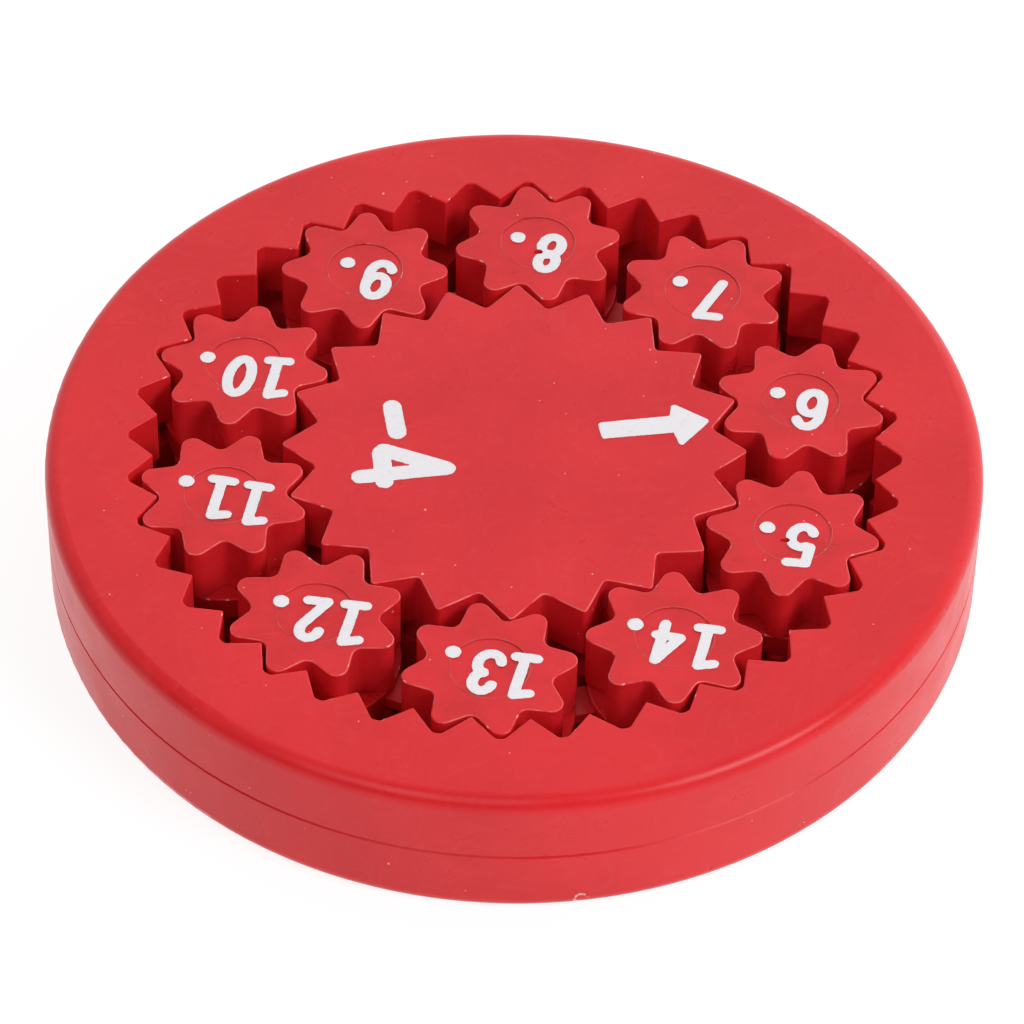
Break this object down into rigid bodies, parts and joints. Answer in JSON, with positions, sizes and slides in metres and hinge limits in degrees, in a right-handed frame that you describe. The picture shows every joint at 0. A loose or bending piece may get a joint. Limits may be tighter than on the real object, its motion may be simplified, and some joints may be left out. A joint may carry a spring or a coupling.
{
  "type": "game spinner",
  "caption": "Round hand-held game spinner: a flat disc whose pointed ring gear carries numbered planet gears that roll around a central gear with an arrow.",
  "frame": {"origin": "centre of the casing's back face, on the disc's axis", "axes": "+Z along the disc's axis, out of the front face that carries the arrow; the user reads the disc from -Y with +X to the right"},
  "size_m": [0.08, 0.08, 0.0133],
  "materials": {
    "casing_plastic": "satin",
    "sun_plastic": "satin",
    "planet_plastic": "satin",
    "cage_plastic": "satin",
    "white_ink": "matte"
  },
  "bodies": {
    "casing": {"casing_front": "casing_plastic", "casing_back": "casing_plastic"},
    "sun": {"sun_front": "sun_plastic", "sun_back": "sun_plastic"},
    "cage": {"planet_cage": "cage_plastic"},
    "planet_5": {"planet_5_front": "planet_plastic", "planet_5_back": "planet_plastic"},
    "planet_6": {"planet_6_front": "planet_plastic", "planet_6_back": "planet_plastic"},
    "planet_7": {"planet_7_front": "planet_plastic", "planet_7_back": "planet_plastic"},
    "planet_8": {"planet_8_front": "planet_plastic", "planet_8_back": "planet_plastic"},
    "planet_9": {"planet_9_front": "planet_plastic", "planet_9_back": "planet_plastic"},
    "planet_10": {"planet_10_front": "planet_plastic", "planet_10_back": "planet_plastic"},
    "planet_11": {"planet_11_front": "planet_plastic", "planet_11_back": "planet_plastic"},
    "planet_12": {"planet_12_front": "planet_plastic", "planet_12_back": "planet_plastic"},
    "planet_13": {"planet_13_front": "planet_plastic", "planet_13_back": "planet_plastic"},
    "planet_14": {"planet_14_front": "planet_plastic", "planet_14_back": "planet_plastic"}
  },
  "joints": [
    {"name": "sun_spin", "type": "hinge", "parent": "casing", "child": "sun", "pos_m": [0, 0, 0.00665], "axis": [0, 0, 1], "continuous": true},
    {"name": "cage_orbit", "type": "hinge", "parent": "casing", "child": "cage", "pos_m": [0, 0, 0.00665], "axis": [0, 0, 1], "continuous": true},
    {"name": "planet_5_spin", "type": "hinge", "parent": "cage", "child": "planet_5", "pos_m": [0.02346, -0.00948, 0.00665], "axis": [0, 0, 1], "continuous": true},
    {"name": "planet_6_spin", "type": "hinge", "parent": "cage", "child": "planet_6", "pos_m": [0.02455, 0.00612, 0.00665], "axis": [0, 0, 1], "continuous": true},
    {"name": "planet_7_spin", "type": "hinge", "parent": "cage", "child": "planet_7", "pos_m": [0.01626, 0.01938, 0.00665], "axis": [0, 0, 1], "continuous": true},
    {"name": "planet_8_spin", "type": "hinge", "parent": "cage", "child": "planet_8", "pos_m": [0.00176, 0.02524, 0.00665], "axis": [0, 0, 1], "continuous": true},
    {"name": "planet_9_spin", "type": "hinge", "parent": "cage", "child": "planet_9", "pos_m": [-0.01341, 0.02145, 0.00665], "axis": [0, 0, 1], "continuous": true},
    {"name": "planet_10_spin", "type": "hinge", "parent": "cage", "child": "planet_10", "pos_m": [-0.02346, 0.00948, 0.00665], "axis": [0, 0, 1], "continuous": true},
    {"name": "planet_11_spin", "type": "hinge", "parent": "cage", "child": "planet_11", "pos_m": [-0.02455, -0.00612, 0.00665], "axis": [0, 0, 1], "continuous": true},
    {"name": "planet_12_spin", "type": "hinge", "parent": "cage", "child": "planet_12", "pos_m": [-0.01626, -0.01938, 0.00665], "axis": [0, 0, 1], "continuous": true},
    {"name": "planet_13_spin", "type": "hinge", "parent": "cage", "child": "planet_13", "pos_m": [-0.00176, -0.02524, 0.00665], "axis": [0, 0, 1], "continuous": true},
    {"name": "planet_14_spin", "type": "hinge", "parent": "cage", "child": "planet_14", "pos_m": [0.01341, -0.02145, 0.00665], "axis": [0, 0, 1], "continuous": true}
  ],
  "couplings": [
    {"joint": "cage_orbit", "follows": "sun_spin", "ratio": 0.33333},
    {"joint": "planet_5_spin", "follows": "sun_spin", "ratio": -1.6667},
    {"joint": "planet_6_spin", "follows": "sun_spin", "ratio": -1.6667},
    {"joint": "planet_7_spin", "follows": "sun_spin", "ratio": -1.6667},
    {"joint": "planet_8_spin", "follows": "sun_spin", "ratio": -1.6667},
    {"joint": "planet_9_spin", "follows": "sun_spin", "ratio": -1.6667},
    {"joint": "planet_10_spin", "follows": "sun_spin", "ratio": -1.6667},
    {"joint": "planet_11_spin", "follows": "sun_spin", "ratio": -1.6667},
    {"joint": "planet_12_spin", "follows": "sun_spin", "ratio": -1.6667},
    {"joint": "planet_13_spin", "follows": "sun_spin", "ratio": -1.6667},
    {"joint": "planet_14_spin", "follows": "sun_spin", "ratio": -1.6667}
  ]
}
